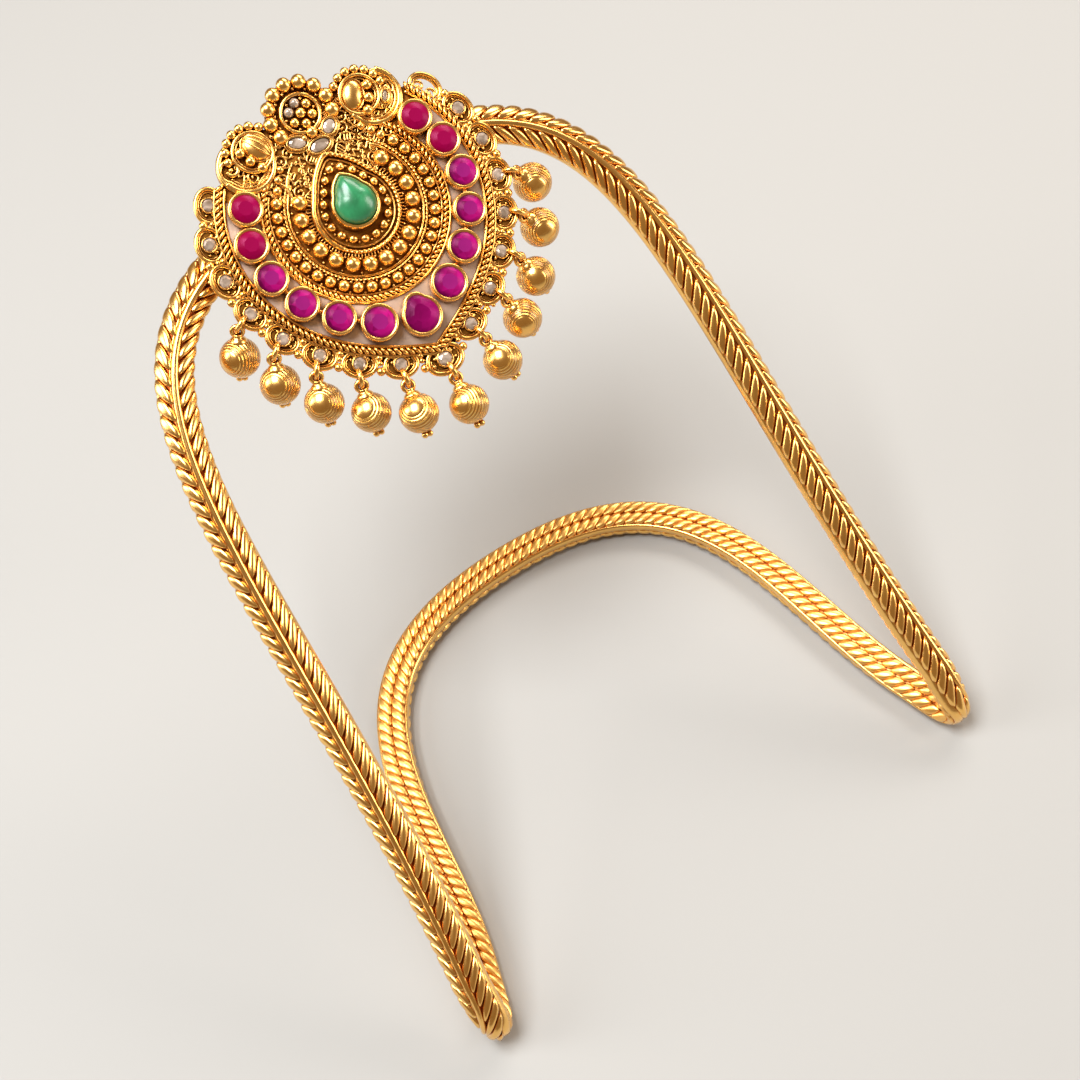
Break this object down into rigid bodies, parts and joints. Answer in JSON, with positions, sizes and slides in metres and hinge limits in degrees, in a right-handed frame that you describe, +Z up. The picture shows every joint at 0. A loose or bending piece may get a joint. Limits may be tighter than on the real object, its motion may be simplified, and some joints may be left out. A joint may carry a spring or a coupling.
{
  "type": "bajuband armlet",
  "caption": "Gilt upper-arm bangle: a braided metal loop bent into two arches, with a domed-stone medallion in front and small ball drops on its rim.",
  "frame": {"origin": "middle of the piece's outline on the surface that it rests on", "axes": "+Z up from the surface; +Y from the tips toward the medallion's top, so the medallion faces -Y and up; +X to the right of a viewer at -Y"},
  "size_m": [0.0942, 0.1082, 0.0913],
  "materials": {
    "gilt_band": "gold-plated, bright on the ridges and dark in the grooves",
    "gilt_work": "gold-plated granulation and twisted wire, bright on the tops and dark between",
    "gilt_ball": "gold-plated, bright, with soft hammer marks",
    "matt_sheet": "matt, pinkish beige, finely pitted",
    "green_stone": "polished dome",
    "red_stone": "polished facets",
    "pale_stone": "polished, flat rose cut"
  },
  "bodies": {
    "root": {"band": "gilt_band", "medallion": "gilt_work", "channel_sheet": "matt_sheet", "emerald": "green_stone", "ruby_pear": "red_stone", "scroll_stones": "pale_stone", "crest_stones": "pale_stone", "ruby_r1": "red_stone", "ruby_r2": "red_stone", "ruby_r3": "red_stone", "ruby_r4": "red_stone", "ruby_r5": "red_stone", "ruby_r6": "red_stone", "ruby_l1": "red_stone", "ruby_l2": "red_stone", "ruby_l3": "red_stone", "ruby_l4": "red_stone", "ruby_l5": "red_stone", "ruby_l6": "red_stone", "jump_ring_1": "gilt_work", "jump_ring_2": "gilt_work", "jump_ring_3": "gilt_work", "jump_ring_4": "gilt_work", "jump_ring_5": "gilt_work", "jump_ring_6": "gilt_work", "jump_ring_7": "gilt_work", "jump_ring_8": "gilt_work", "jump_ring_9": "gilt_work", "jump_ring_10": "gilt_work", "jump_ring_11": "gilt_work", "drop_1": "gilt_ball", "drop_2": "gilt_ball", "drop_3": "gilt_ball", "drop_4": "gilt_ball", "drop_5": "gilt_ball", "drop_6": "gilt_ball", "drop_7": "gilt_ball", "drop_8": "gilt_ball", "drop_9": "gilt_ball", "drop_10": "gilt_ball", "drop_11": "gilt_ball"}
  },
  "joints": []
}
